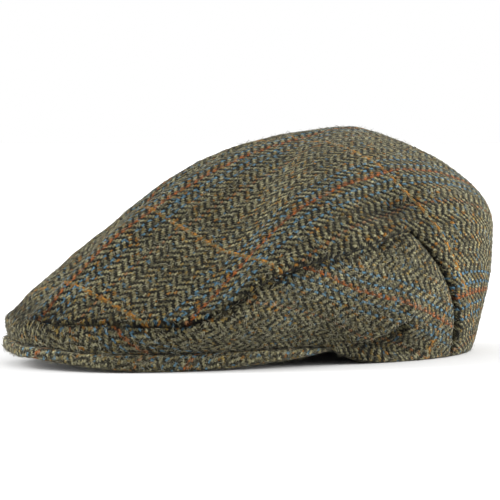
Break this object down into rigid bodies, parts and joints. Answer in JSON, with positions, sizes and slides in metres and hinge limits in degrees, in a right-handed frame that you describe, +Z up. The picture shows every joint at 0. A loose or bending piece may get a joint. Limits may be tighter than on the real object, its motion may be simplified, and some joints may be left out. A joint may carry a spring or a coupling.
{
  "type": "flat cap",
  "caption": "Soft tweed flat cap with a one-piece top panel, side panels that run round the front, and a short stiff peak.",
  "frame": {"origin": "middle of the footprint, on the surface the cap rests on", "axes": "+X to the back of the cap, +Y to the wearer's right, +Z up"},
  "size_m": [0.2758, 0.1864, 0.1142],
  "materials": {
    "crown_top": "fuzzy brown-green herringbone tweed with a rust, blue and gold overcheck",
    "side_panel_left": "the same tweed, its stripes running down and back",
    "side_panel_right": "the same tweed, its stripes running down and back",
    "peak": "the same tweed over a stiff board"
  },
  "bodies": {
    "root": {"crown_top": "crown_top", "side_panel_left": "side_panel_left", "side_panel_right": "side_panel_right", "peak": "peak"}
  },
  "joints": []
}
